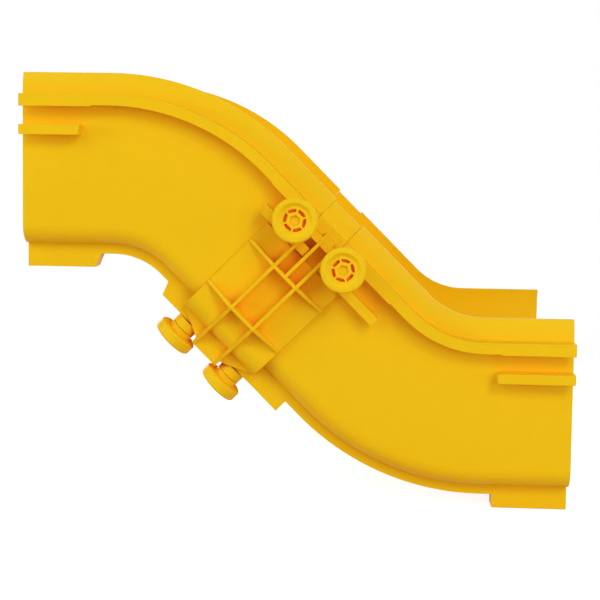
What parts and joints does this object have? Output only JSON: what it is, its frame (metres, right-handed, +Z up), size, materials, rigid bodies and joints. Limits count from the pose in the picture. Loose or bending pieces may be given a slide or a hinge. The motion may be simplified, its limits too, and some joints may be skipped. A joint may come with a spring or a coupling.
{
  "type": "cable raceway step-down fitting",
  "caption": "Open yellow plastic cable raceway that steps down through two 45 degree bends, joined mid-slope by a ribbed coupler with turn knobs.",
  "frame": {"origin": "middle of the upper open end, on the underside of the channel floor", "axes": "+X along the upper run into the part, +Y across the channel, +Z up"},
  "size_m": [0.3602, 0.2204, 0.2837],
  "materials": {
    "channel_plastic": "smooth satin moulded yellow ABS",
    "coupler_plastic": "smooth satin moulded yellow ABS",
    "knob_plastic": "smooth satin moulded yellow ABS",
    "bolt_plastic": "plain moulded yellow plastic"
  },
  "bodies": {
    "raceway": {"upper_bend": "channel_plastic", "lower_bend": "channel_plastic", "coupler": "coupler_plastic"},
    "side_near_upper_fastener": {"side_near_upper_knob": "knob_plastic", "side_near_upper_bolt": "bolt_plastic"},
    "sole_near_upper_fastener": {"sole_near_upper_knob": "knob_plastic", "sole_near_upper_bolt": "bolt_plastic"},
    "side_near_lower_fastener": {"side_near_lower_knob": "knob_plastic", "side_near_lower_bolt": "bolt_plastic"},
    "sole_near_lower_fastener": {"sole_near_lower_knob": "knob_plastic", "sole_near_lower_bolt": "bolt_plastic"},
    "side_far_upper_fastener": {"side_far_upper_knob": "knob_plastic", "side_far_upper_bolt": "bolt_plastic"},
    "sole_far_upper_fastener": {"sole_far_upper_knob": "knob_plastic", "sole_far_upper_bolt": "bolt_plastic"},
    "side_far_lower_fastener": {"side_far_lower_knob": "knob_plastic", "side_far_lower_bolt": "bolt_plastic"},
    "sole_far_lower_fastener": {"sole_far_lower_knob": "knob_plastic", "sole_far_lower_bolt": "bolt_plastic"}
  },
  "joints": [
    {"name": "side_near_upper_turn", "type": "hinge", "parent": "raceway", "child": "side_near_upper_fastener", "pos_m": [0.18015, -0.08, 0.02037], "axis": [0, -1, 0], "range_deg": [0, 90]},
    {"name": "sole_near_upper_turn", "type": "hinge", "parent": "raceway", "child": "sole_near_upper_fastener", "pos_m": [0.11941, -0.0603, -0.04037], "axis": [-0.7071, 0, -0.7071], "range_deg": [0, 90]},
    {"name": "side_near_lower_turn", "type": "hinge", "parent": "raceway", "child": "side_near_lower_fastener", "pos_m": [0.21091, -0.08, -0.01039], "axis": [0, -1, 0], "range_deg": [0, 90]},
    {"name": "sole_near_lower_turn", "type": "hinge", "parent": "raceway", "child": "sole_near_lower_fastener", "pos_m": [0.15017, -0.0603, -0.07113], "axis": [-0.7071, 0, -0.7071], "range_deg": [0, 90]},
    {"name": "side_far_upper_turn", "type": "hinge", "parent": "raceway", "child": "side_far_upper_fastener", "pos_m": [0.18015, 0.08, 0.02037], "axis": [0, 1, 0], "range_deg": [0, 90]},
    {"name": "sole_far_upper_turn", "type": "hinge", "parent": "raceway", "child": "sole_far_upper_fastener", "pos_m": [0.11941, 0.0603, -0.04037], "axis": [-0.7071, 0, -0.7071], "range_deg": [0, 90]},
    {"name": "side_far_lower_turn", "type": "hinge", "parent": "raceway", "child": "side_far_lower_fastener", "pos_m": [0.21091, 0.08, -0.01039], "axis": [0, 1, 0], "range_deg": [0, 90]},
    {"name": "sole_far_lower_turn", "type": "hinge", "parent": "raceway", "child": "sole_far_lower_fastener", "pos_m": [0.15017, 0.0603, -0.07113], "axis": [-0.7071, 0, -0.7071], "range_deg": [0, 90]}
  ]
}
